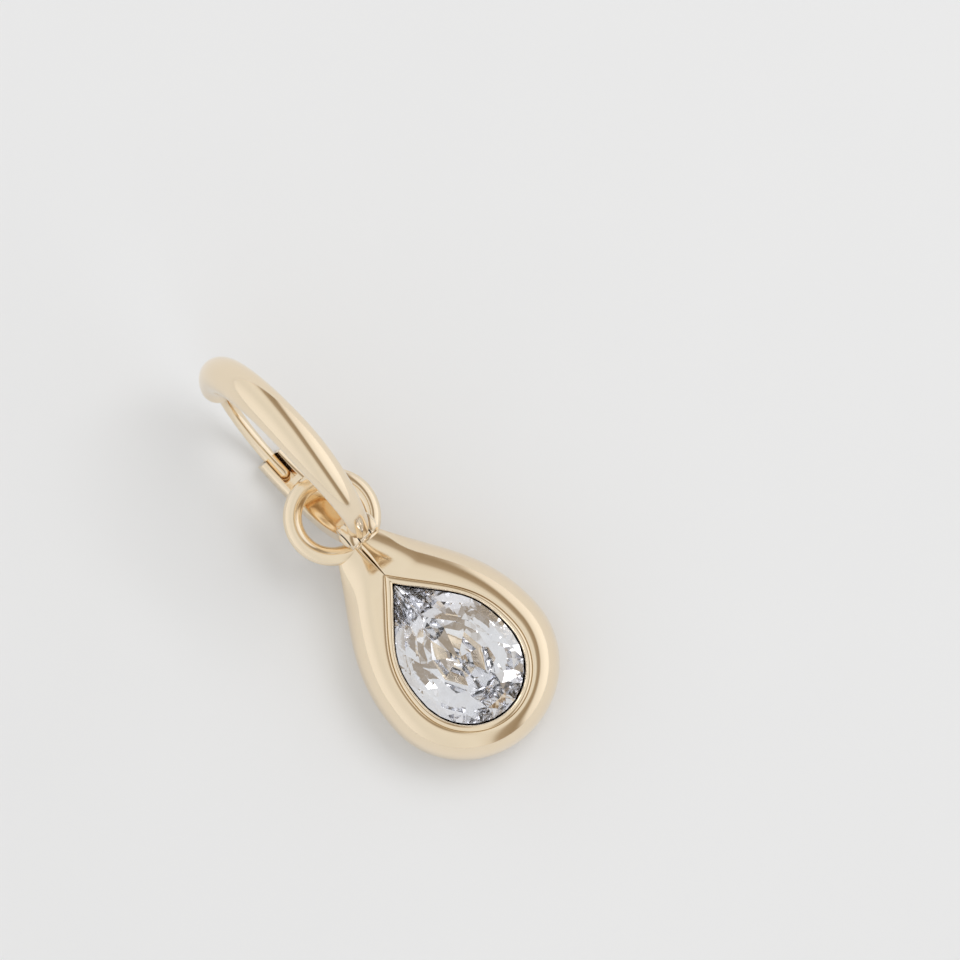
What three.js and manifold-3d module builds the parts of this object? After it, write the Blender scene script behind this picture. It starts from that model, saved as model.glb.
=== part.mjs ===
// A small hinged hoop earring with a puffed teardrop hanging from it, lying on its back.
// Millimetres, +Z up. The drop's axis runs along +X. While building, x = 0, y = 0 is the middle of the drop's loop.
import * as THREE from 'three';
import { mergeVertices } from 'three/addons/utils/BufferGeometryUtils.js';
import { ConvexGeometry } from 'three/addons/geometries/ConvexGeometry.js';
import Module from 'manifold-3d';

const wasm = await Module();
wasm.setup();

const DEGREE = Math.PI / 180;

// Gap left between pieces that sit in or turn on each other
const CLEARANCE = 0.05;

// Hoop: its middle line is a circle that stands almost upright. Angles start at +X and go up over the top
const HOOP_RADIUS = 5.7;
const HOOP_MIDDLE_X = -4.2;
const HOOP_MIDDLE_Y = 0.42;
const HOOP_LEAN = 7.5 * DEGREE;

// Front arc of the hoop and its ear post
const FRONT_RADIUS = 1.05;
const FRONT_HINGE_RADIUS = 0.62;
const FRONT_FULL_ANGLE = 95 * DEGREE;
const FRONT_END_ANGLE = 198 * DEGREE;
const POST_RADIUS = 0.37;
const POST_END_ANGLE = 276 * DEGREE;

// Back arc of the hoop and the slotted catch at its free end
const BACK_THICKNESS = 1.44;
const BACK_WIDTH = 1.6;
const BACK_HINGE_SHARE = 0.84;
const BACK_CORNER = 0.35;
const BACK_END_ANGLE = 264 * DEGREE;
const CATCH_SLOT_ANGLE = 283 * DEGREE;

// Hinge
const HINGE_ANGLE = 3 * DEGREE;
const KNUCKLE_RADIUS = 0.76;
const KNUCKLE_LENGTH = 1.8;
const TONGUE_WIDTH = 0.72;
const PIN_RADIUS = 0.25;
const PIN_HEAD_RADIUS = 0.45;
const PIN_HEAD_HEIGHT = 0.16;

// Loop of the drop, level with the table
const LOOP_RADIUS = 2.2;
const LOOP_WIRE_RADIUS = 0.53;
const LOOP_HEIGHT = 2.9;

// Drop seen from above: tip, widest place and round end along x, half widths along y
const EDGE = { tipX: 2.2, tipHalf: 1.5, wideX: 11.2, endX: 16.3, half: 5.3, tipReach: 3.2, wideReach: 3.9 };
const LIP = { tipX: 5, tipHalf: 0, wideX: 11.1, endX: 14.5, half: 3.22, tipReach: 2.6, wideReach: 3.1 };
const SIDE_POINTS = 16;
const END_POINTS = 12;

// Heights on the drop above its flat back
const WAIST_HEIGHT = 1.5;
const PUFF_HEIGHT = 4;
const GROOVE_HEIGHT = 3.75;
const RIM_HEIGHT = 4.15;
const LIP_HEIGHT = 3.74;
const NECK_START_X = 1.9;
const NECK_END_X = 5;

// Raised rim round the stone
const RIM_WIDTH = 0.36;

// Stone
const STONE_COVER = 0.24;
const GIRDLE_HEIGHT = 3.3;
const GIRDLE_THICKNESS = 0.22;
const TABLE_HEIGHT = 4.6;
const TABLE_SHARE = 0.56;
const CULET_HEIGHT = 0.4;
const SEAT_WIDTH = 0.45;
const SEAT_DROP = 0.55;

const GOLD = { color: 0xdcc596, roughness: 0.16, metalness: 1 };
const CRYSTAL = { color: 0xf3f5f7, roughness: 0.04, metalness: 0 };

const WAY_UP = new THREE.Vector3(0, Math.sin(HOOP_LEAN), Math.cos(HOOP_LEAN));
const WAY_ACROSS = new THREE.Vector3(0, Math.cos(HOOP_LEAN), -Math.sin(HOOP_LEAN));
const HOOP_MIDDLE_HEIGHT = backLowestReach();

// Distance from the hoop's middle down to the lowest point of its back arc
function backLowestReach() {
  const outward = HOOP_RADIUS + BACK_THICKNESS / 2 - BACK_CORNER;
  const sideways = BACK_WIDTH / 2 - BACK_CORNER;
  return outward * Math.cos(HOOP_LEAN) + sideways * Math.sin(HOOP_LEAN) + BACK_CORNER;
}

// Point of the hoop at an angle, at a distance from its middle and to the side of its plane
function hoopPoint(angle, distance, side) {
  const point = new THREE.Vector3(HOOP_MIDDLE_X, HOOP_MIDDLE_Y, HOOP_MIDDLE_HEIGHT);
  point.x += distance * Math.cos(angle);
  point.addScaledVector(WAY_UP, distance * Math.sin(angle));
  return point.addScaledVector(WAY_ACROSS, side);
}

function smooth(from, to, value) {
  const share = THREE.MathUtils.clamp((value - from) / (to - from), 0, 1);
  return share * share * (3 - 2 * share);
}

function signedVolume(positions, faces) {
  const corner = (i) => new THREE.Vector3().fromArray(positions, 3 * i);
  let sum = 0;
  for (let i = 0; i < faces.length; i += 3) {
    sum += corner(faces[i]).dot(corner(faces[i + 1]).cross(corner(faces[i + 2])));
  }
  return sum / 6;
}

function solidFrom(geometry) {
  const bare = new THREE.BufferGeometry();
  bare.setAttribute('position', geometry.getAttribute('position'));
  bare.setIndex(geometry.getIndex());
  const merged = mergeVertices(bare, 1e-5);
  const positions = merged.getAttribute('position').array;
  const faces = merged.getIndex().array;
  if (signedVolume(positions, faces) < 0) {
    faces.reverse();
  }
  const mesh = new wasm.Mesh({
    numProp: 3,
    vertProperties: new Float32Array(positions),
    triVerts: new Uint32Array(faces),
  });
  return new wasm.Manifold(mesh);
}

// Solid skin over rings of points. Its two ends are joined to each other, or else closed with a middle point each
function loft(rings, endsJoined) {
  const count = rings[0].length;
  const points = rings.flat();
  const faces = [];
  const links = endsJoined ? rings.length : rings.length - 1;
  for (let i = 0; i < links; i += 1) {
    const here = i * count;
    const there = ((i + 1) % rings.length) * count;
    for (let j = 0; j < count; j += 1) {
      const next = (j + 1) % count;
      faces.push(here + j, here + next, there + next);
      faces.push(here + j, there + next, there + j);
    }
  }
  if (!endsJoined) {
    const ends = [rings[0], rings.at(-1)];
    ends.forEach((ring, end) => {
      const middle = new THREE.Vector3();
      ring.forEach((point) => middle.addScaledVector(point, 1 / count));
      points.push(middle);
      const first = end * (rings.length - 1) * count;
      for (let j = 0; j < count; j += 1) {
        const next = (j + 1) % count;
        const pair = end ? [first + j, first + next] : [first + next, first + j];
        faces.push(...pair, points.length - 1);
      }
    });
  }
  const geometry = new THREE.BufferGeometry();
  geometry.setAttribute('position', new THREE.Float32BufferAttribute(points.flatMap((p) => p.toArray()), 3));
  geometry.setIndex(faces);
  return solidFrom(geometry);
}

function named(name, solid, look) {
  const mesh = solid.getMesh();
  const geometry = new THREE.BufferGeometry();
  geometry.setAttribute('position', new THREE.Float32BufferAttribute(mesh.vertProperties, 3));
  geometry.setIndex([...mesh.triVerts]);
  geometry.computeVertexNormals();
  const result = new THREE.Mesh(geometry, new THREE.MeshStandardMaterial(look));
  result.name = name;
  return result;
}

// Round bar along the hoop. Each stop has an angle and a radius
function hoopBar(stops, sides) {
  const rings = stops.map(({ angle, radius }) => {
    const ring = [];
    for (let i = 0; i < sides; i += 1) {
      const turn = (i / sides) * 2 * Math.PI;
      ring.push(hoopPoint(angle, HOOP_RADIUS + radius * Math.cos(turn), radius * Math.sin(turn)));
    }
    return ring;
  });
  return loft(rings, false);
}

// Stops from one angle to another, with a domed far end
function domedStops(from, to, steps, radiusAt) {
  const stops = [];
  for (let i = 0; i <= steps; i += 1) {
    const angle = THREE.MathUtils.lerp(from, to, i / steps);
    stops.push({ angle, radius: radiusAt(angle) });
  }
  const endRadius = radiusAt(to);
  for (const turn of [25 * DEGREE, 50 * DEGREE, 70 * DEGREE, 84 * DEGREE]) {
    stops.push({ angle: to + (endRadius / HOOP_RADIUS) * Math.sin(turn), radius: endRadius * Math.cos(turn) });
  }
  return stops;
}

// Round bar across the hoop at the hinge, between two places on the hinge line
function hingeBar(radius, fromSide, toSide, sides = 28) {
  const bar = new THREE.CylinderGeometry(radius, radius, toSide - fromSide, sides);
  const turn = new THREE.Quaternion().setFromUnitVectors(new THREE.Vector3(0, 1, 0), WAY_ACROSS);
  bar.applyQuaternion(turn);
  const middle = hoopPoint(HINGE_ANGLE, HOOP_RADIUS, (fromSide + toSide) / 2);
  bar.translate(middle.x, middle.y, middle.z);
  return solidFrom(bar);
}

// Bar of a box shape along the hoop, given by its inner and outer distance and half width at each stop
function hoopBlock(fromAngle, toAngle, steps, sectionAt) {
  const rings = [];
  for (let i = 0; i <= steps; i += 1) {
    const angle = THREE.MathUtils.lerp(fromAngle, toAngle, i / steps);
    rings.push(sectionAt(angle).map(([distance, side]) => hoopPoint(angle, distance, side)));
  }
  return loft(rings, false);
}

function boxSection(inner, outer, halfWidth) {
  return [[inner, -halfWidth], [outer, -halfWidth], [outer, halfWidth], [inner, halfWidth]];
}

// Box section with rounded corners about the hoop's middle line
function roundedSection(thickness, width, corner) {
  const section = [];
  const middles = [[1, 1], [-1, 1], [-1, -1], [1, -1]];
  middles.forEach(([outward, across], quarter) => {
    for (const part of [0, 1, 2, 3]) {
      const turn = (quarter + part / 3) * 90 * DEGREE;
      const distance = outward * (thickness / 2 - corner) + corner * Math.cos(turn);
      const side = across * (width / 2 - corner) + corner * Math.sin(turn);
      section.push([HOOP_RADIUS + distance, side]);
    }
  });
  return section;
}

function makeHoopFront() {
  const barStart = HINGE_ANGLE + (0.5 * KNUCKLE_RADIUS) / HOOP_RADIUS;
  const radiusAt = (angle) => {
    return THREE.MathUtils.lerp(FRONT_HINGE_RADIUS, FRONT_RADIUS, smooth(barStart, FRONT_FULL_ANGLE, angle));
  };
  const arc = hoopBar(domedStops(barStart, FRONT_END_ANGLE, 30, radiusAt), 20);
  const postStops = domedStops(FRONT_END_ANGLE, POST_END_ANGLE, 9, () => POST_RADIUS);
  const post = hoopBar(postStops, 12);
  const knuckle = hingeBar(KNUCKLE_RADIUS, -KNUCKLE_LENGTH / 2, KNUCKLE_LENGTH / 2);
  const tongueHalf = TONGUE_WIDTH / 2 + CLEARANCE;
  const tongueRoom = hingeBar(KNUCKLE_RADIUS + CLEARANCE, -tongueHalf, tongueHalf, 36);
  const pinRoom = hingeBar(PIN_RADIUS + CLEARANCE, -KNUCKLE_LENGTH, KNUCKLE_LENGTH);
  return arc.add(post).add(knuckle).subtract(tongueRoom).subtract(pinRoom);
}

function makeHoopBack() {
  const armTop = HINGE_ANGLE;
  const armEnd = BACK_END_ANGLE - 2 * Math.PI;
  const arm = hoopBlock(armTop, armEnd, 26, (angle) => {
    const share = THREE.MathUtils.lerp(BACK_HINGE_SHARE, 1, smooth(0, -50 * DEGREE, angle));
    return roundedSection(BACK_THICKNESS * share, BACK_WIDTH * share, BACK_CORNER);
  });
  const slotHalf = POST_RADIUS + CLEARANCE;
  const slotFrom = armEnd - 5 * DEGREE;
  const slotTo = CATCH_SLOT_ANGLE - 2 * Math.PI;
  const slot = hoopBlock(slotFrom, slotTo, 8, () => {
    return boxSection(HOOP_RADIUS - BACK_THICKNESS, HOOP_RADIUS + slotHalf, slotHalf);
  });
  const knuckleRoom = hingeBar(KNUCKLE_RADIUS + CLEARANCE, -KNUCKLE_LENGTH, KNUCKLE_LENGTH, 36);
  const tongueDisc = hingeBar(KNUCKLE_RADIUS, -TONGUE_WIDTH / 2, TONGUE_WIDTH / 2);
  const webReach = (KNUCKLE_RADIUS + 4 * CLEARANCE) / HOOP_RADIUS;
  const web = hoopBlock(HINGE_ANGLE, HINGE_ANGLE - webReach, 3, () => {
    const half = 0.8 * PIN_HEAD_RADIUS + CLEARANCE;
    return boxSection(HOOP_RADIUS - half, HOOP_RADIUS + half, TONGUE_WIDTH / 2);
  });
  const pinRoom = hingeBar(PIN_RADIUS + CLEARANCE, -KNUCKLE_LENGTH, KNUCKLE_LENGTH);
  return arm.subtract(slot).subtract(knuckleRoom).add(web).add(tongueDisc).subtract(pinRoom);
}

function makeHingePin() {
  const reach = KNUCKLE_LENGTH / 2 + CLEARANCE;
  const profile = [new THREE.Vector2(0, -reach - PIN_HEAD_HEIGHT)];
  profile.push(new THREE.Vector2(0.7 * PIN_HEAD_RADIUS, -reach - 0.75 * PIN_HEAD_HEIGHT));
  profile.push(new THREE.Vector2(PIN_HEAD_RADIUS, -reach));
  profile.push(new THREE.Vector2(PIN_RADIUS, -reach));
  const mirrored = profile.map((point) => new THREE.Vector2(point.x, -point.y));
  const lathe = new THREE.LatheGeometry([...profile, ...mirrored.reverse()], 18);
  const turn = new THREE.Quaternion().setFromUnitVectors(new THREE.Vector3(0, 1, 0), WAY_ACROSS);
  lathe.applyQuaternion(turn);
  const middle = hoopPoint(HINGE_ANGLE, HOOP_RADIUS, 0);
  lathe.translate(middle.x, middle.y, middle.z);
  return solidFrom(lathe);
}

// The same pear outline, larger all round by a distance
function grown(outline, by) {
  const tipAngle = Math.atan2(outline.half, outline.wideX - outline.tipX - outline.wideReach / 2);
  return {
    ...outline,
    tipX: outline.tipX - by / Math.sin(tipAngle),
    endX: outline.endX + by,
    half: outline.half + by,
  };
}

// One side of a pear outline from next to its tip to its round end
function pearSide(outline) {
  const { tipX, tipHalf, wideX, endX, half, tipReach, wideReach } = outline;
  const slope = (half - tipHalf) / (wideX - tipX - wideReach * 0.65);
  const side = new THREE.CubicBezierCurve(
    new THREE.Vector2(tipX, tipHalf),
    new THREE.Vector2(tipX + tipReach, tipHalf + slope * tipReach),
    new THREE.Vector2(wideX - wideReach, half),
    new THREE.Vector2(wideX, half),
  );
  const points = [];
  for (let i = 1; i <= SIDE_POINTS; i += 1) {
    points.push(side.getPoint((i / SIDE_POINTS) ** 1.2));
  }
  for (let i = 1; i <= END_POINTS; i += 1) {
    const turn = (i / END_POINTS) * 90 * DEGREE;
    points.push(new THREE.Vector2(wideX + (endX - wideX) * Math.sin(turn), half * Math.cos(turn)));
  }
  return points;
}

// Closed pear outline at a height, starting at its tip
function pearRing(outline, height) {
  const side = pearSide(outline);
  const back = side.slice(0, -1).reverse().map((point) => new THREE.Vector2(point.x, -point.y));
  const flat = [new THREE.Vector2(outline.tipX, 0), ...side, ...back];
  return flat.map((point) => new THREE.Vector3(point.x, point.y, height));
}

function between(outer, inner, share, height) {
  const innerRing = pearRing(inner, height);
  return pearRing(outer, height).map((point, i) => point.lerp(innerRing[i], share));
}

// Towards its neck the drop thins from both sides to the thickness of the loop's wire
function thinned(point) {
  const inBody = smooth(NECK_START_X, NECK_END_X, point.x);
  const low = THREE.MathUtils.lerp(LOOP_HEIGHT - LOOP_WIRE_RADIUS, 0, inBody);
  const high = THREE.MathUtils.lerp(LOOP_HEIGHT + LOOP_WIRE_RADIUS, PUFF_HEIGHT, inBody);
  return point.setZ(low + (point.z / PUFF_HEIGHT) * (high - low));
}

const GIRDLE = grown(LIP, STONE_COVER);

function makePendantFrame() {
  const rim = grown(LIP, RIM_WIDTH);
  const pocket = grown(GIRDLE, CLEARANCE);
  const seat = grown(GIRDLE, -SEAT_WIDTH);
  const seatHeight = GIRDLE_HEIGHT - SEAT_DROP;
  const rings = [
    between(EDGE, rim, 0.3, 0),
    between(EDGE, rim, 0.1, 0.3 * WAIST_HEIGHT),
    between(EDGE, rim, 0, WAIST_HEIGHT),
    between(EDGE, rim, 0.05, 0.6 * PUFF_HEIGHT),
    between(EDGE, rim, 0.16, 0.79 * PUFF_HEIGHT),
    between(EDGE, rim, 0.34, 0.94 * PUFF_HEIGHT),
    between(EDGE, rim, 0.6, PUFF_HEIGHT),
    between(EDGE, rim, 0.84, 0.98 * PUFF_HEIGHT),
    between(EDGE, rim, 0.98, GROOVE_HEIGHT),
    between(rim, LIP, 0.1, RIM_HEIGHT - 0.12),
    between(rim, LIP, 0.5, RIM_HEIGHT),
    pearRing(LIP, RIM_HEIGHT - 0.12),
    pearRing(LIP, LIP_HEIGHT),
    pearRing(pocket, GIRDLE_HEIGHT + GIRDLE_THICKNESS),
    pearRing(pocket, GIRDLE_HEIGHT - CLEARANCE),
    pearRing(seat, seatHeight),
    pearRing(seat, 0),
  ];
  rings.forEach((ring) => ring.forEach(thinned));
  const body = loft(rings, true);
  const torus = new THREE.TorusGeometry(LOOP_RADIUS, LOOP_WIRE_RADIUS, 14, 44);
  torus.translate(0, 0, LOOP_HEIGHT);
  return body.add(solidFrom(torus));
}

// Ring of a pear outline drawn in towards the stone's middle
function shrunkRing(outline, share, height, step, first) {
  const middleX = outline.wideX - 0.6;
  return pearRing(outline, height)
    .filter((_, i) => i % step === first)
    .map((point) => point.setX(THREE.MathUtils.lerp(middleX, point.x, share)).setY(point.y * share));
}

function makeStone() {
  const step = 4;
  const crown = TABLE_HEIGHT - GIRDLE_HEIGHT - GIRDLE_THICKNESS;
  const points = [
    ...shrunkRing(GIRDLE, TABLE_SHARE, TABLE_HEIGHT, step, 0),
    ...shrunkRing(GIRDLE, 0.82, TABLE_HEIGHT - 0.54 * crown, step, 2),
    ...shrunkRing(GIRDLE, 1, GIRDLE_HEIGHT + GIRDLE_THICKNESS, 2, 0),
    ...shrunkRing(GIRDLE, 1, GIRDLE_HEIGHT, 2, 0),
    ...shrunkRing(GIRDLE, 0.42, THREE.MathUtils.lerp(CULET_HEIGHT, GIRDLE_HEIGHT, 0.36), step, 0),
    new THREE.Vector3(GIRDLE.wideX - 0.6, 0, CULET_HEIGHT),
  ];
  return solidFrom(new ConvexGeometry(points));
}

const earring = new THREE.Group();
earring.name = 'teardrop_earring';
earring.add(
  named('hoop_front', makeHoopFront(), GOLD),
  named('hoop_back', makeHoopBack(), GOLD),
  named('hinge_pin', makeHingePin(), GOLD),
  named('pendant_frame', makePendantFrame(), GOLD),
  named('stone', makeStone(), CRYSTAL),
);

// The origin is the middle of the footprint, on the table
const bounds = new THREE.Box3().setFromObject(earring);
const shiftX = -(bounds.min.x + bounds.max.x) / 2;
const shiftY = -(bounds.min.y + bounds.max.y) / 2;
for (const piece of earring.children) {
  piece.geometry.translate(shiftX, shiftY, -bounds.min.z);
}

export default earring;
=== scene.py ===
"""A hinged hoop earring with a puffed teardrop, in pale gold with a clear stone, lying on a pale surface.

Shapes are worked out in millimetres about the middle of the drop's loop, as in the part's source. Then they are
put in the frame.
"""

from math import atan2, cos, pi, radians, sin, sqrt

import bmesh
import bpy
import numpy as np
from mathutils import Matrix, Vector


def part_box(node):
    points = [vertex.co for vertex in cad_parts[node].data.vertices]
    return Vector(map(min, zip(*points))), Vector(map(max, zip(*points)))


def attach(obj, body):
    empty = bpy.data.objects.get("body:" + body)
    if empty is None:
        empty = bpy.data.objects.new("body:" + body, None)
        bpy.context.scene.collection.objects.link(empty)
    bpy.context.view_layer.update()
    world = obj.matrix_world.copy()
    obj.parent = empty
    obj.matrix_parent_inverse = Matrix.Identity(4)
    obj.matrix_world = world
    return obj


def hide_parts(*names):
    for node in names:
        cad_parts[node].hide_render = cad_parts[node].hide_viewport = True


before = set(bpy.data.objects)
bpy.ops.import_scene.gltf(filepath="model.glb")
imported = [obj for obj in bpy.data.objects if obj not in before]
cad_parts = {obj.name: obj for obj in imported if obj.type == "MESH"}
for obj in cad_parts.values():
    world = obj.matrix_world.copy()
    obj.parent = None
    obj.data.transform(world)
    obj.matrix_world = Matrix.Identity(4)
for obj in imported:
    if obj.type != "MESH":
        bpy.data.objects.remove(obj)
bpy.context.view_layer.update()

MM = 0.001

# Hoop
HOOP_RADIUS = 5.7
HOOP_MIDDLE_X = -4.2
HOOP_MIDDLE_Y = 0.42
HOOP_LEAN = radians(7.5)

# Front arc and ear post
FRONT_RADIUS = 1.05
FRONT_HINGE_RADIUS = 0.62
FRONT_FULL_ANGLE = radians(95)
FRONT_END_ANGLE = radians(198)
POST_RADIUS = 0.37
POST_END_ANGLE = radians(276)
DOME_ANGLE = radians(88)
DOME_STEPS = 11

# Back arc and catch
BACK_THICKNESS = 1.44
BACK_WIDTH = 1.6
BACK_HINGE_SHARE = 0.84
BACK_FULL_ANGLE = radians(-50)
BACK_CORNER = 0.35
BACK_END_ANGLE = radians(264 - 360)
CATCH_SLOT_ANGLE = radians(283 - 360)
CATCH_OVERRUN_ANGLE = radians(5)
CATCH_EDGE_ROUNDING = 0.045
SLOT_HALF = POST_RADIUS + 0.05

# Hinge
HINGE_ANGLE = radians(3)
KNUCKLE_RADIUS = 0.76
KNUCKLE_LENGTH = 1.8
TONGUE_WIDTH = 0.72
TONGUE_GAP = 0.05
EAR_BEVEL = 0.06
TONGUE_BEVEL = 0.05
WEB_HALF = 0.41
WEB_REACH = 0.2
PIN_RADIUS = 0.25
PIN_HEAD_RADIUS = 0.45
PIN_HEAD_HEIGHT = 0.16
PIN_HEAD_GAP = 0.05
PIN_TIP_RADIUS = 0.004

# Where the arc, the arm and the web start from the pin's middle, as shares of the knuckle's radius
FRONT_START_SHARE = 0.93
BACK_START_SHARE = 1.1
WEB_START_SHARE = 0.3

# Loop of the drop
LOOP_RADIUS = 2.2
LOOP_WIRE_RADIUS = 0.53
LOOP_HEIGHT = 2.9

# Drop outlines from above: tip, widest place and round end along x, half widths along y
EDGE = dict(tip=2.2, tip_half=1.5, wide=11.2, end=16.3, half=5.3, tip_reach=3.2, wide_reach=3.9)
LIP = dict(tip=5, tip_half=0, wide=11.1, end=14.5, half=3.22, tip_reach=2.6, wide_reach=3.1)
OUTLINE_SIDE_SHARE = 0.6
OUTLINE_SLOPE_SHARE = 0.65
OUTLINE_STEPS = 400

# Heights on the drop
WAIST_HEIGHT = 1.5
PUFF_HEIGHT = 4
GROOVE_HEIGHT = 3.82
NECK_START_X = 1.9
NECK_END_X = 5
SEAT_HEIGHT = 2.6

# Puffed frame: widths of its shoulder, back edge, seat and roll at the rim, and steps over and round it
SHOULDER_WIDTH = 1.6
BACK_EDGE_WIDTH = 0.6
SEAT_WIDTH = 0.45
RIM_ROLL_WIDTH = 0.35
ROLL_POWER = 2.5
TOP_STEPS = 56
BACK_STEPS = 12
NECK_STEPS = 48
SIDE_STEPS = 220
TIP_CROWDING = 1.15
NECK_TAIL = 3

# Fold on the neck
CREASE_START_X = 2.4
CREASE_END_X = 4.7
CREASE_HALF_WIDTH = 0.24
CREASE_END_HALF_WIDTH = 0.02
CREASE_DEPTH = 0.6

# Rim round the stone
RIM_HEIGHT = 4.1
RIM_FOOT_HEIGHT = 2.9
RIM_WIDTH = 0.36
RIM_ROUNDING = 0.17
RIM_OVERLAP = 0.06
GROOVE_DEPTH = 0.3

# Stone
STONE_GAP = 0.08
STONE_SIDES = 8
STONE_MIDDLE_BACK = 0.6
GIRDLE_HEIGHT = 3.3
GIRDLE_THICKNESS = 0.2
GIRDLE_PARTS = 4
TABLE_HEIGHT = 4.6
TABLE_SHARE = 0.56
CROWN_SHARE = 0.8
CROWN_DROP_SHARE = 0.52
CULET_HEIGHT = 0.8
PAVILION_BELLY = 1.35
PAVILION_RINGS = [
    # turn in sides, share of the outline, corners a side
    (0.25, 0.74, 2),
    (0.5, 0.44, 1),
]

# Gold: its uneven tones and polish, painted shade darkening it in nooks and crevices, and its waviness
GOLD_TONES = ((0.91, 0.77, 0.57), (0.94, 0.80, 0.61))
GOLD_ROUGHNESS = (0.09, 0.15)
WEAR_SCALE = 900
CREVICE_SHADE_TONE = (0.12, 0.07, 0.035)
CREVICE_SHADE_REACH = 0.16
RIPPLE_SCALE = 260
RIPPLE_HEIGHT = 0.02
RIPPLE_STRENGTH = 0.12

# Stone, its mirror backing and the paper
CRYSTAL_TONES = ((0.97, 0.97, 0.98), (1, 1, 1))
CRYSTAL_IOR = 1.65
FOIL_TONES = ((0.86, 0.87, 0.9), (0.97, 0.97, 0.98))
FOIL_ROUGHNESS = 0.03
PAPER_TONES = ((0.816, 0.831, 0.854), (0.836, 0.851, 0.874))
PAPER_ROUGHNESS = 0.9

# Tent: tone by how far a direction leans away from or towards its brightest side
TENT_STRENGTH = 1
TENT_ACROSS = (0.5, 0.866, 0)
TENT_TONES = [
    # lean, red, green, blue
    (-1.0, 0.94, 0.94, 0.94),
    (-0.4, 0.80, 0.80, 0.79),
    (0.0, 0.84, 0.84, 0.82),
    (0.12, 0.78, 0.76, 0.72),
    (0.26, 0.40, 0.33, 0.25),
    (0.46, 0.34, 0.27, 0.19),
    (0.62, 0.92, 0.91, 0.90),
    (1.0, 1.10, 1.10, 1.10),
]

# Floor and key light, in metres and watts
FLOOR_HALF = 0.6
KEY_PLACE = (-0.02, 0.3, 0.48)
KEY_SIZE = (0.4, 0.26)
KEY_POWER = 0.9

# The camera looks down, leant a little. The middle of the drop's loop is left of and below the picture's middle
PICTURE_PIXELS = 960
PIXELS_PER_MM = 18
LOOP_LEFT_PIXELS = 148
LOOP_BELOW_PIXELS = 37
CAMERA_TURN = radians(48)
CAMERA_LEAN = radians(2.5)
LENS = 300
SENSOR = 36

WAY_UP = Vector((0, sin(HOOP_LEAN), cos(HOOP_LEAN)))
WAY_ACROSS = Vector((0, cos(HOOP_LEAN), -sin(HOOP_LEAN)))
HOOP_MIDDLE_HEIGHT = (
    (HOOP_RADIUS + BACK_THICKNESS / 2 - BACK_CORNER) * cos(HOOP_LEAN)
    + (BACK_WIDTH / 2 - BACK_CORNER) * sin(HOOP_LEAN)
    + BACK_CORNER
)

# The loop is at the low end of the drop's frame, which gives where its middle is in the frame
ORIGIN = Vector((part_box("pendant_frame")[0][0] / MM + LOOP_RADIUS + LOOP_WIRE_RADIUS, 0, 0))


def mix(a, b, share):
    return a + (b - a) * share


def smooth(start, end, value):
    share = min(1, max(0, (value - start) / (end - start)))
    return share * share * (3 - 2 * share)


# Objects


def build_mesh(name, points, faces):
    """Closed mesh from points in millimetres, with close points merged and its faces turned outwards."""
    shape = bmesh.new()
    corners = [shape.verts.new((point + ORIGIN) * MM) for point in points]
    for face in faces:
        shape.faces.new([corners[i] for i in face])
    bmesh.ops.remove_doubles(shape, verts=shape.verts, dist=1e-8)
    bmesh.ops.recalc_face_normals(shape, faces=shape.faces)
    mesh = bpy.data.meshes.new(name)
    shape.to_mesh(mesh)
    shape.free()
    return mesh


def place_mesh(name, mesh):
    piece = bpy.data.objects.new(name, mesh)
    bpy.context.scene.collection.objects.link(piece)
    return piece


def add_object(name, points, faces, material, body, nodes, smooth_below=40):
    """One closed piece of the earring, smooth but for edges sharper than an angle in degrees."""
    mesh = build_mesh(name, points, faces)
    mesh.shade_smooth()
    mesh.set_sharp_from_angle(angle=radians(smooth_below))
    mesh.materials.append(material)
    piece = place_mesh(name, mesh)
    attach(piece, body)
    if nodes:
        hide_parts(*nodes)
    return piece


def loft(rings, ends_joined):
    """Points and faces of a skin over rings of points. Its two ends are joined to each other, or closed."""
    count = len(rings[0])
    points = [point for ring in rings for point in ring]
    faces = []
    links = len(rings) if ends_joined else len(rings) - 1
    for i in range(links):
        here = i * count
        there = (i + 1) % len(rings) * count
        for j in range(count):
            following = (j + 1) % count
            faces.append((here + j, here + following, there + following, there + j))
    if not ends_joined:
        last = (len(rings) - 1) * count
        faces.append(tuple(range(count)))
        faces.append(tuple(last + j for j in reversed(range(count))))
    return points, faces


# Hoop shapes


def hoop_point(angle, distance, side):
    middle = Vector((HOOP_MIDDLE_X, HOOP_MIDDLE_Y, HOOP_MIDDLE_HEIGHT))
    return middle + Vector((distance * cos(angle), 0, 0)) + WAY_UP * distance * sin(angle) + WAY_ACROSS * side


def hoop_bar(stops, sides):
    """Round bar along the hoop, from angles and its radius at each."""
    turns = [2 * pi * i / sides for i in range(sides)]
    rings = []
    for angle, radius in stops:
        ring = [hoop_point(angle, HOOP_RADIUS + radius * cos(turn), radius * sin(turn)) for turn in turns]
        rings.append(ring)
    return loft(rings, False)


def domed_stops(start, end, steps, radius_at):
    """Angles and radii of a bar along the hoop that ends in a dome."""
    stops = []
    for i in range(steps + 1):
        angle = mix(start, end, i / steps)
        stops.append((angle, radius_at(angle)))
    radius = radius_at(end)
    for i in range(1, DOME_STEPS + 1):
        turn = DOME_ANGLE * i / DOME_STEPS
        stops.append((end + radius / HOOP_RADIUS * sin(turn), radius * cos(turn)))
    return stops


def hoop_block(start, end, steps, section_at):
    """Block along the hoop, with the section that a function gives for each angle."""
    rings = []
    for i in range(steps + 1):
        angle = mix(start, end, i / steps)
        rings.append([hoop_point(angle, distance, side) for distance, side in section_at(angle)])
    return loft(rings, False)


def box_section(inner, outer, half_width):
    return [(inner, -half_width), (outer, -half_width), (outer, half_width), (inner, half_width)]


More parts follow.
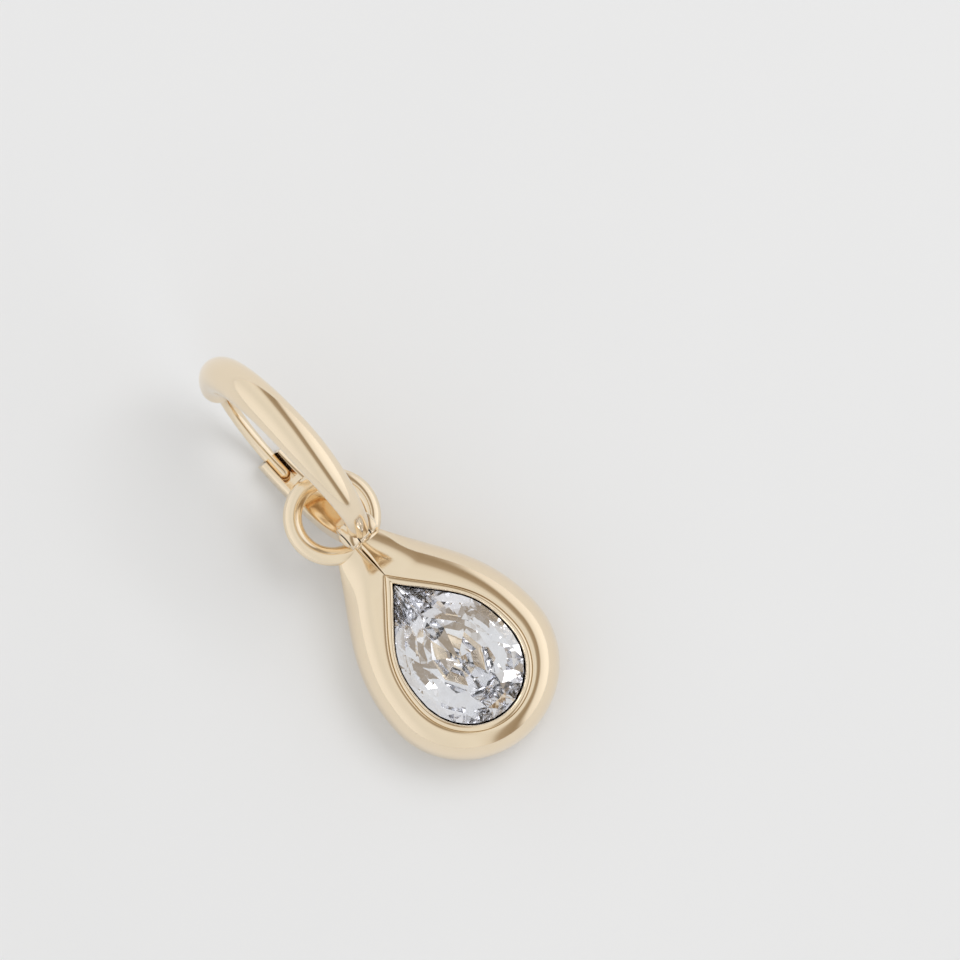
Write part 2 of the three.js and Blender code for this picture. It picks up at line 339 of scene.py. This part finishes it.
def rounded_section(thickness, width, corner):
    section = []
    for quarter, (outward, across) in enumerate([(1, 1), (-1, 1), (-1, -1), (1, -1)]):
        for part in range(9):
            turn = (quarter + part / 8) * pi / 2
            distance = outward * (thickness / 2 - corner) + corner * cos(turn)
            side = across * (width / 2 - corner) + corner * sin(turn)
            section.append((HOOP_RADIUS + distance, side))
    return section


def hinge_bar(profile, sides=64):
    """Turned shape about the hinge line, from places along it and radii."""
    middle = hoop_point(HINGE_ANGLE, HOOP_RADIUS, 0)
    out = Vector((1, 0, 0))
    rings = []
    for place, radius in profile:
        ring = []
        for i in range(sides):
            turn = 2 * pi * i / sides
            ring.append(middle + WAY_ACROSS * place + (out * cos(turn) + WAY_UP * sin(turn)) * radius)
        rings.append(ring)
    return loft(rings, False)


def disc_profile(start, end, radius, bevel):
    """Places and radii of a disc with rounded edges."""
    return [
        (start, radius - bevel),
        (start + bevel * 0.3, radius - bevel * 0.3),
        (start + bevel, radius),
        (end - bevel, radius),
        (end - bevel * 0.3, radius - bevel * 0.3),
        (end, radius - bevel),
    ]


def make_hoop_front(material):
    start = HINGE_ANGLE + FRONT_START_SHARE * KNUCKLE_RADIUS / HOOP_RADIUS

    def radius_at(angle):
        return mix(FRONT_HINGE_RADIUS, FRONT_RADIUS, smooth(start, FRONT_FULL_ANGLE, angle))

    arc = hoop_bar(domed_stops(start, FRONT_END_ANGLE, 150, radius_at), sides=72)
    add_object("hoop_front_arc", *arc, material, "front", ["hoop_front"])
    post = hoop_bar(domed_stops(FRONT_END_ANGLE, POST_END_ANGLE, 60, lambda angle: POST_RADIUS), sides=40)
    add_object("ear_post", *post, material, "front", [])
    for index, side in enumerate((-1, 1)):
        near = side * (TONGUE_WIDTH / 2 + TONGUE_GAP)
        far = side * KNUCKLE_LENGTH / 2
        ear = hinge_bar(disc_profile(min(near, far), max(near, far), KNUCKLE_RADIUS, EAR_BEVEL))
        add_object(f"hinge_ear_{index + 1}", *ear, material, "front", [])


def make_hoop_back(material):
    start = HINGE_ANGLE - BACK_START_SHARE * KNUCKLE_RADIUS / HOOP_RADIUS

    def section_at(angle):
        share = mix(BACK_HINGE_SHARE, 1, smooth(0, BACK_FULL_ANGLE, angle))
        return rounded_section(BACK_THICKNESS * share, BACK_WIDTH * share, BACK_CORNER)

    arm = hoop_block(start, BACK_END_ANGLE, 120, section_at)
    arm_piece = add_object("hoop_back_arm", *arm, material, "drop_and_back", ["hoop_back"], 50)
    slot = hoop_block(
        BACK_END_ANGLE - CATCH_OVERRUN_ANGLE,
        CATCH_SLOT_ANGLE,
        40,
        lambda angle: box_section(HOOP_RADIUS - BACK_THICKNESS, HOOP_RADIUS + SLOT_HALF, SLOT_HALF),
    )
    cut_out(arm_piece, slot)
    tongue = hinge_bar(disc_profile(-TONGUE_WIDTH / 2, TONGUE_WIDTH / 2, KNUCKLE_RADIUS, TONGUE_BEVEL))
    web = hoop_block(
        HINGE_ANGLE - WEB_START_SHARE * KNUCKLE_RADIUS / HOOP_RADIUS,
        HINGE_ANGLE - (KNUCKLE_RADIUS + WEB_REACH) / HOOP_RADIUS,
        6,
        lambda angle: box_section(HOOP_RADIUS - WEB_HALF, HOOP_RADIUS + WEB_HALF, TONGUE_WIDTH / 2),
    )
    add_object("hinge_tongue", *tongue, material, "drop_and_back", [])
    add_object("hinge_web", *web, material, "drop_and_back", [])


def cut_out(piece, shell):
    """Takes a closed shell away from a piece, then rounds the edges that are left."""
    cutter = place_mesh("cutter", build_mesh("cutter", *shell))
    bpy.context.view_layer.objects.active = piece
    subtract = piece.modifiers.new("slot", "BOOLEAN")
    subtract.object = cutter
    subtract.operation = "DIFFERENCE"
    subtract.solver = "EXACT"
    bevel = piece.modifiers.new("edges", "BEVEL")
    bevel.width = CATCH_EDGE_ROUNDING * MM
    bevel.segments = 3
    bevel.limit_method = "ANGLE"
    bevel.angle_limit = radians(50)
    bevel.harden_normals = True
    for modifier in (subtract, bevel):
        bpy.ops.object.modifier_apply(modifier=modifier.name)
    bpy.data.objects.remove(cutter)


def make_hinge_pin(material):
    reach = KNUCKLE_LENGTH / 2 + PIN_HEAD_GAP
    profile = []
    for side in (-1, 1):
        head = []
        for i in range(9):
            turn = i / 8 * pi / 2
            place = side * (reach + PIN_HEAD_HEIGHT * cos(turn))
            head.append((place, max(PIN_TIP_RADIUS, PIN_HEAD_RADIUS * sin(turn))))
        head.append((side * reach, PIN_RADIUS))
        profile += head if side < 0 else reversed(head)
    add_object("hinge_pin_turned", *hinge_bar(profile), material, "drop_and_back", ["hinge_pin"])


# Drop shapes


def grown(outline, by):
    """A pear outline moved outwards by a distance on all sides."""
    tip_angle = atan2(outline["half"], outline["wide"] - outline["tip"] - outline["wide_reach"] / 2)
    return dict(
        outline,
        tip=outline["tip"] - by / sin(tip_angle),
        end=outline["end"] + by,
        half=outline["half"] + by,
    )


def bezier(corners, share):
    a, b, c, d = corners
    rest = 1 - share
    return a * rest**3 + b * 3 * rest * rest * share + c * 3 * rest * share * share + d * share**3


def pear_point(outline, share):
    """Point on the +Y side of a pear outline, from its tip at share 0 to its round end at share 1."""
    tip, tip_half, wide, half = (outline[key] for key in ("tip", "tip_half", "wide", "half"))
    if share <= OUTLINE_SIDE_SHARE:
        slope = (half - tip_half) / (wide - tip - outline["wide_reach"] * OUTLINE_SLOPE_SHARE)
        corners = [
            Vector((tip, tip_half)),
            Vector((tip + outline["tip_reach"], tip_half + slope * outline["tip_reach"])),
            Vector((wide - outline["wide_reach"], half)),
            Vector((wide, half)),
        ]
        return bezier(corners, share / OUTLINE_SIDE_SHARE)
    turn = (share - OUTLINE_SIDE_SHARE) / (1 - OUTLINE_SIDE_SHARE) * pi / 2
    return Vector((wide + (outline["end"] - wide) * sin(turn), half * cos(turn)))


def thinned(x, height):
    """Height on the drop, brought to the loop wire's thickness and level along the neck."""
    in_body = smooth(NECK_START_X, NECK_END_X, x)
    low = mix(LOOP_HEIGHT - LOOP_WIRE_RADIUS, 0, in_body)
    high = mix(LOOP_HEIGHT + LOOP_WIRE_RADIUS, PUFF_HEIGHT, in_body)
    return low + height / PUFF_HEIGHT * (high - low)


def roll(place, width):
    """Rise of a rounded edge, from 0 at its foot to 1 at its width and beyond."""
    return sqrt(max(0, 1 - (1 - min(1, place / width)) ** ROLL_POWER))


def puff_height(depth, rim_distance):
    """Height of the puff's top, by its distances from the drop's outer edge and from the rim."""
    dome = mix(WAIST_HEIGHT, PUFF_HEIGHT, roll(depth, SHOULDER_WIDTH))
    return dome - (PUFF_HEIGHT - GROOVE_HEIGHT) * (1 - roll(rim_distance, RIM_ROLL_WIDTH))


def crease_drop(x, y):
    """Depth of the fold between the drop's two arms, on the neck between the loop and the rim's tip."""
    half_width = CREASE_HALF_WIDTH * (1 - smooth(CREASE_START_X, CREASE_END_X, x)) + CREASE_END_HALF_WIDTH
    if abs(y) >= half_width or x > CREASE_END_X:
        return 0
    share = abs(y) / half_width
    return CREASE_DEPTH * (half_width / CREASE_HALF_WIDTH) * (1 - sqrt(1 - (1 - share) ** 2))


def outline_line(outline, tail=None):
    """Close points along a pear outline's +Y side, carried on past its tip for a length where one is given."""
    line = [pear_point(outline, i / OUTLINE_STEPS) for i in range(OUTLINE_STEPS + 1)]
    if tail:
        line.insert(0, line[0] + (line[0] - line[1]).normalized() * tail)
    return np.array(line)


def distance_to(line, place):
    """Distance from a place to a line of points, taken along its straight pieces."""
    starts, steps = line[:-1], np.diff(line, axis=0)
    shares = np.clip(((place - starts) * steps).sum(axis=1) / (steps**2).sum(axis=1), 0, 1)
    return float(np.min(np.hypot(*(starts + steps * shares[:, None] - place).T)))


def puff_section(start, finish, inside, edge, rim):
    """One section of the frame from its back round its outer edge, over its top and down inside the rim."""
    direction = (finish - start).normalized()
    flat = []
    for i in range(BACK_STEPS):
        turn = i / BACK_STEPS * pi / 2
        place = start + direction * BACK_EDGE_WIDTH * (1 - sin(turn))
        flat.append((place, WAIST_HEIGHT * (1 - cos(turn))))
    for i in range(TOP_STEPS + 1):
        place = start.lerp(finish, 0.5 - 0.5 * cos(pi * i / TOP_STEPS))
        depth, rim_distance = (distance_to(line, np.array(place)) for line in (edge, rim))
        flat.append((place, puff_height(depth, rim_distance) - crease_drop(*place)))
    flat += [(finish, GROOVE_HEIGHT - GROOVE_DEPTH), (inside, SEAT_HEIGHT)]
    back_edge = flat[0][0]
    for i in range(BACK_STEPS):
        flat.append((inside.lerp(back_edge, i / BACK_STEPS), 0))
    return [Vector((place.x, place.y, thinned(place.x, height))) for place, height in flat]


def make_drop_body(material):
    """Puffed frame, as sections across the neck's end and then along the +Y side, and the same mirrored."""
    buried_rim = grown(LIP, RIM_WIDTH - RIM_OVERLAP)
    seat = grown(LIP, -SEAT_WIDTH)
    lines = (outline_line(EDGE, NECK_TAIL), outline_line(buried_rim))
    sections = []
    for i in range(NECK_STEPS):
        start = Vector((EDGE["tip"], EDGE["tip_half"] * i / NECK_STEPS))
        sections.append(puff_section(start, pear_point(buried_rim, 0), pear_point(seat, 0), *lines))
    for i in range(SIDE_STEPS + 1):
        share = (i / SIDE_STEPS) ** TIP_CROWDING
        places = [pear_point(outline, share) for outline in (EDGE, buried_rim, seat)]
        sections.append(puff_section(*places, *lines))
    mirrored = [[Vector((p.x, -p.y, p.z)) for p in section] for section in reversed(sections[1:-1])]
    add_object("drop_body", *loft(sections + mirrored, True), material, "drop_and_back", ["pendant_frame"], 60)


def make_rim(material):
    outer = grown(LIP, RIM_WIDTH)
    shoulder = RIM_HEIGHT - RIM_ROUNDING
    rings = []
    for i in range(2 * SIDE_STEPS):
        share = i / SIDE_STEPS if i <= SIDE_STEPS else 2 - i / SIDE_STEPS
        side = 1 if i <= SIDE_STEPS else -1
        lip = pear_point(LIP, share)
        far = pear_point(outer, share)
        section = [(far, RIM_FOOT_HEIGHT), (far, shoulder)]
        for step in range(1, 12):
            turn = step / 12 * pi
            section.append((far.lerp(lip, 0.5 - 0.5 * cos(turn)), shoulder + RIM_ROUNDING * sin(turn)))
        section += [(lip, shoulder), (lip, RIM_FOOT_HEIGHT)]
        rings.append([Vector((p.x, side * p.y, height)) for p, height in section])
    add_object("rim", *loft(rings, True), material, "drop_and_back", [], 60)


def make_loop(material, steps=160, sides=48):
    rings = []
    for i in range(steps):
        around = 2 * pi * i / steps
        out = Vector((cos(around), sin(around), 0))
        ring = []
        for j in range(sides):
            turn = 2 * pi * j / sides
            distance = LOOP_RADIUS + LOOP_WIRE_RADIUS * cos(turn)
            ring.append(out * distance + Vector((0, 0, LOOP_HEIGHT + LOOP_WIRE_RADIUS * sin(turn))))
        rings.append(ring)
    add_object("drop_loop", *loft(rings, True), material, "drop_and_back", [])


# Stone: flat facets between rings of corners at its table, crown, girdle and pavilion


def make_stone(material, foil):
    outline = grown(LIP, -STONE_GAP)
    middle_x = outline["wide"] - STONE_MIDDLE_BACK
    girdle_top = GIRDLE_HEIGHT + GIRDLE_THICKNESS

    def ring(offset, share, height, parts=1):
        """Corners at a share of the outline, each at its own turn from the round end."""
        corners = []
        for i in range(STONE_SIDES * parts):
            turn = 2 * pi * ((i + offset * parts) / (STONE_SIDES * parts))
            turn = turn - 2 * pi if turn > pi + 1e-9 else turn
            point = pear_point(outline, 1 - abs(turn) / pi)
            side = 1 if turn >= 0 else -1
            corners.append(Vector((mix(middle_x, point.x, share), side * point.y * share, height)))
        return corners

    points = ring(0, TABLE_SHARE, TABLE_HEIGHT)
    points += ring(0.5, CROWN_SHARE, TABLE_HEIGHT - CROWN_DROP_SHARE * (TABLE_HEIGHT - girdle_top))
    points += ring(0, 1, girdle_top, GIRDLE_PARTS)
    points += ring(0, 1, GIRDLE_HEIGHT, GIRDLE_PARTS)
    for offset, share, parts in PAVILION_RINGS:
        points += ring(offset, share, mix(CULET_HEIGHT, GIRDLE_HEIGHT, share**PAVILION_BELLY), parts)
    points.append(Vector((middle_x, 0, CULET_HEIGHT)))
    hull = bmesh.new()
    for point in points:
        hull.verts.new(point)
    bmesh.ops.convex_hull(hull, input=hull.verts)
    hull.verts.index_update()
    corners = [vertex.co.copy() for vertex in hull.verts]
    faces = [tuple(vertex.index for vertex in face.verts) for face in hull.faces]
    hull.free()
    piece = add_object("stone_cut", corners, faces, material, "drop_and_back", ["stone"], 1)
    piece.data.materials.append(foil)
    for face in piece.data.polygons:
        if face.center.z < (girdle_top - 0.1 * GIRDLE_THICKNESS) * MM:
            face.material_index = 1


# Materials


def node_material(name):
    material = bpy.data.materials.new(name)
    material.use_nodes = True
    nodes = material.node_tree.nodes
    return material, nodes, material.node_tree.links, nodes["Principled BSDF"]


def add_noise(nodes, links, scale, detail=2):
    """Noise over a piece, for wear, cloud, grain and waviness."""
    coordinates = nodes.new("ShaderNodeTexCoord")
    noise = nodes.new("ShaderNodeTexNoise")
    noise.inputs["Scale"].default_value = scale
    noise.inputs["Detail"].default_value = detail
    links.new(coordinates.outputs["Object"], noise.inputs["Vector"])
    return noise.outputs["Fac"]


def add_tones(nodes, links, value, low, high, low_place=0, high_place=1):
    """Colour between two tones, by a value."""
    tones = nodes.new("ShaderNodeValToRGB")
    stops = tones.color_ramp.elements
    stops[0].position = low_place
    stops[0].color = (*low, 1)
    stops[1].position = high_place
    stops[1].color = (*high, 1)
    links.new(value, tones.inputs["Fac"])
    return tones.outputs["Color"]


def make_gold():
    """Polished pale gold plating with a faint waviness and slightly uneven polish, and painted shade in its
    nooks and crevices from an occlusion mask.
    """
    material, nodes, links, shader = node_material("pale_gold")
    wear = add_noise(nodes, links, WEAR_SCALE, 4)
    plating = add_tones(nodes, links, wear, *GOLD_TONES)
    # Painted shade: an occlusion mask multiplies the gold darker in nooks and crevices, such as the gap round
    # the stone
    crevice_occlusion = nodes.new("ShaderNodeAmbientOcclusion")
    crevice_occlusion.samples = 8
    crevice_occlusion.inputs["Distance"].default_value = CREVICE_SHADE_REACH * MM
    painted_crevice_shade = add_tones(nodes, links, crevice_occlusion.outputs["AO"], CREVICE_SHADE_TONE, (1, 1, 1), 0.12, 0.62)
    shade_multiply = nodes.new("ShaderNodeMix")
    shade_multiply.data_type = "RGBA"
    shade_multiply.blend_type = "MULTIPLY"
    shade_multiply.inputs["Factor"].default_value = 1
    links.new(plating, shade_multiply.inputs["A"])
    links.new(painted_crevice_shade, shade_multiply.inputs["B"])
    links.new(shade_multiply.outputs["Result"], shader.inputs["Base Color"])
    polish = nodes.new("ShaderNodeMapRange")
    polish.inputs["To Min"].default_value, polish.inputs["To Max"].default_value = GOLD_ROUGHNESS
    links.new(wear, polish.inputs["Value"])
    links.new(polish.outputs["Result"], shader.inputs["Roughness"])
    bump = nodes.new("ShaderNodeBump")
    bump.inputs["Strength"].default_value = RIPPLE_STRENGTH
    bump.inputs["Distance"].default_value = RIPPLE_HEIGHT * MM
    links.new(add_noise(nodes, links, RIPPLE_SCALE, 1), bump.inputs["Height"])
    links.new(bump.outputs["Normal"], shader.inputs["Normal"])
    shader.inputs["Metallic"].default_value = 1
    return material


def make_crystal():
    """Clear cut stone with the faintest cloud in it."""
    material, nodes, links, shader = node_material("clear_crystal")
    cloud = add_noise(nodes, links, 300)
    tones = add_tones(nodes, links, cloud, *CRYSTAL_TONES)
    links.new(tones, shader.inputs["Base Color"])
    shader.inputs["Roughness"].default_value = 0
    shader.inputs["IOR"].default_value = CRYSTAL_IOR
    shader.inputs["Transmission Weight"].default_value = 1
    return material


def make_foil():
    """Bright mirror backing on the stone's girdle and lower facets."""
    material, nodes, links, shader = node_material("bright_backing")
    cloud = add_noise(nodes, links, 500)
    tones = add_tones(nodes, links, cloud, *FOIL_TONES)
    links.new(tones, shader.inputs["Base Color"])
    shader.inputs["Metallic"].default_value = 1
    shader.inputs["Roughness"].default_value = FOIL_ROUGHNESS
    return material


def make_paper():
    """Pale matt paper with a faint unevenness."""
    material, nodes, links, shader = node_material("pale_paper")
    grain = add_noise(nodes, links, 60)
    tones = add_tones(nodes, links, grain, *PAPER_TONES)
    links.new(tones, shader.inputs["Base Color"])
    shader.inputs["Roughness"].default_value = PAPER_ROUGHNESS
    return material


# Stage


def add_floor(material):
    mesh = bpy.data.meshes.new("floor")
    corners = [(x * FLOOR_HALF, y * FLOOR_HALF, 0) for x, y in ((-1, -1), (1, -1), (1, 1), (-1, 1))]
    mesh.from_pydata(corners, [], [(0, 1, 2, 3)])
    floor = bpy.data.objects.new("floor", mesh)
    bpy.context.scene.collection.objects.link(floor)
    mesh.materials.append(material)


def add_light(name, place, size, power):
    """Soft rectangular light that faces the object. Polished metal doesn't mirror it."""
    data = bpy.data.lights.new(name, "AREA")
    data.shape = "RECTANGLE"
    data.size, data.size_y = size
    data.energy = power
    light = bpy.data.objects.new(name, data)
    bpy.context.scene.collection.objects.link(light)
    light.location = place
    light.rotation_euler = (-Vector(place)).to_track_quat("-Z", "Y").to_euler()
    light.visible_glossy = False


def set_world():
    """White tent with one brighter side, and a darker band between that side and the space overhead."""
    world = bpy.data.worlds.new("soft_tent")
    bpy.context.scene.world = world
    world.use_nodes = True
    nodes = world.node_tree.nodes
    links = world.node_tree.links
    background = nodes["Background"]
    direction = nodes.new("ShaderNodeTexCoord")
    across = nodes.new("ShaderNodeVectorMath")
    across.operation = "DOT_PRODUCT"
    across.inputs[1].default_value = TENT_ACROSS
    links.new(direction.outputs["Generated"], across.inputs[0])
    place = nodes.new("ShaderNodeMapRange")
    place.inputs["From Min"].default_value = -1
    place.inputs["From Max"].default_value = 1
    links.new(across.outputs["Value"], place.inputs["Value"])
    tent = nodes.new("ShaderNodeValToRGB")
    ramp = tent.color_ramp
    ramp.interpolation = "EASE"
    for index, (lean, *tone) in enumerate(TENT_TONES):
        stop = ramp.elements[index] if index < 2 else ramp.elements.new(0.5 + lean / 2)
        stop.position = 0.5 + lean / 2
        stop.color = (*tone, 1)
    links.new(place.outputs["Result"], tent.inputs["Fac"])
    links.new(tent.outputs["Color"], background.inputs["Color"])
    background.inputs["Strength"].default_value = TENT_STRENGTH


def add_camera():
    data = bpy.data.cameras.new("camera")
    data.lens = LENS
    data.sensor_width = SENSOR
    data.clip_start = 0.01
    camera = bpy.data.objects.new("camera", data)
    bpy.context.scene.collection.objects.link(camera)
    right = Vector((cos(CAMERA_TURN), sin(CAMERA_TURN), 0))
    up = Vector((-sin(CAMERA_TURN), cos(CAMERA_TURN), 0))
    to_middle = (right * LOOP_LEFT_PIXELS + up * LOOP_BELOW_PIXELS) / PIXELS_PER_MM
    aim = ORIGIN + to_middle + Vector((0, 0, LOOP_HEIGHT))
    distance = PICTURE_PIXELS / PIXELS_PER_MM * LENS / SENSOR
    back = Vector((0, -sin(CAMERA_LEAN), cos(CAMERA_LEAN)))
    camera.location = (aim + back * distance) * MM
    upright = (up - back * up.dot(back)).normalized()
    camera.rotation_euler = Matrix((upright.cross(back), upright, back)).transposed().to_euler()
    bpy.context.scene.camera = camera


gold = make_gold()
make_hoop_front(gold)
make_hoop_back(gold)
make_hinge_pin(gold)
make_drop_body(gold)
make_rim(gold)
make_loop(gold)
make_stone(make_crystal(), make_foil())

add_floor(make_paper())
add_light("key", KEY_PLACE, KEY_SIZE, KEY_POWER)
set_world()
add_camera()

# The cut stone needs more mirrored and bent rays than usual
bpy.context.scene.cycles.max_bounces = 20
bpy.context.scene.cycles.glossy_bounces = 14
bpy.context.scene.cycles.transmission_bounces = 16
bpy.context.scene.view_settings.view_transform = "Standard"
